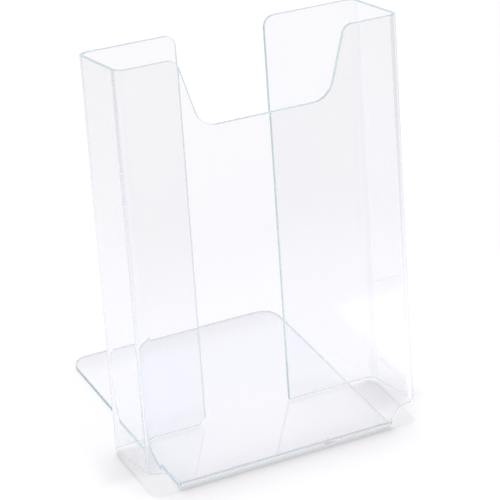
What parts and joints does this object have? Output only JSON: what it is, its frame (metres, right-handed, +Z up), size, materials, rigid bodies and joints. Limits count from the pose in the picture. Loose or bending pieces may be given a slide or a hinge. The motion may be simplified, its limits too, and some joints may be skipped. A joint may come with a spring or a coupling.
{
  "type": "magazine rack",
  "caption": "Clear plastic magazine rack: a leaning open-top pocket with a finger cut-out, bent from one sheet that runs on under it as an easel foot.",
  "frame": {"origin": "centre of the footprint, on the surface that the foot stands on", "axes": "+Z up, -Y towards the reader who takes a magazine out, +X to that reader's right"},
  "size_m": [0.235, 0.193, 0.3223],
  "materials": {
    "clear_acrylic": "clear, colourless, glossy acrylic sheet with a faint blue-green tint that deepens at its cut edges"
  },
  "bodies": {
    "root": {"front_panel": "clear_acrylic", "front_left_bend": "clear_acrylic", "front_right_bend": "clear_acrylic", "left_side_panel": "clear_acrylic", "right_side_panel": "clear_acrylic", "rear_left_bend": "clear_acrylic", "rear_right_bend": "clear_acrylic", "left_back_flange": "clear_acrylic", "right_back_flange": "clear_acrylic", "foot_bend": "clear_acrylic", "foot_plate": "clear_acrylic"}
  },
  "joints": []
}
